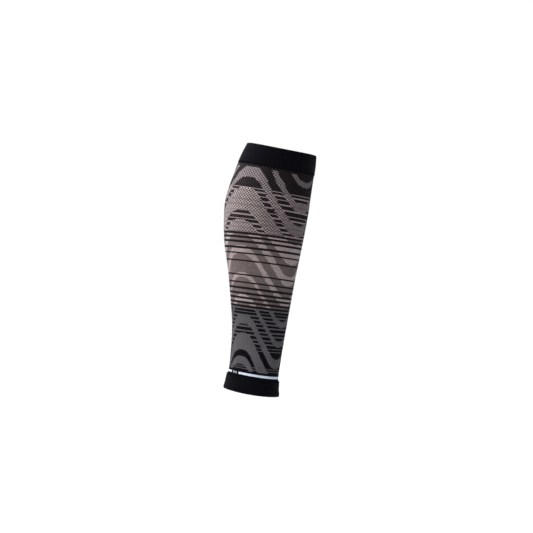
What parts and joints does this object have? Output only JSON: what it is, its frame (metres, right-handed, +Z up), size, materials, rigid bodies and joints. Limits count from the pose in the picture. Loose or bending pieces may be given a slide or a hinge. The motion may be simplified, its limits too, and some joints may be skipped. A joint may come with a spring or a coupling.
{
  "type": "calf compression sleeve",
  "caption": "Knitted compression sleeve for the lower leg, footless, shaped to the calf, with a wave and stripe pattern, a turned upper welt and a turned lower welt.",
  "frame": {"origin": "on the axis of the lower leg that the sleeve is worn on, at the level where the calf is widest", "axes": "+Z up along the leg towards the knee, +X towards the shin, -X towards the calf muscle"},
  "size_m": [0.1172, 0.108, 0.3398],
  "materials": {
    "upper_welt": "fine plain elastic knit, matt black",
    "patterned_knit": "jacquard knit of grey and black yarns, matt",
    "stripe_band": "fine black knit with a white stripe knitted in, matt",
    "lower_welt": "thick plain elastic knit, matt black"
  },
  "bodies": {
    "root": {"upper_welt": "upper_welt", "knit_body": "patterned_knit", "stripe_band": "stripe_band", "lower_welt": "lower_welt"}
  },
  "joints": []
}
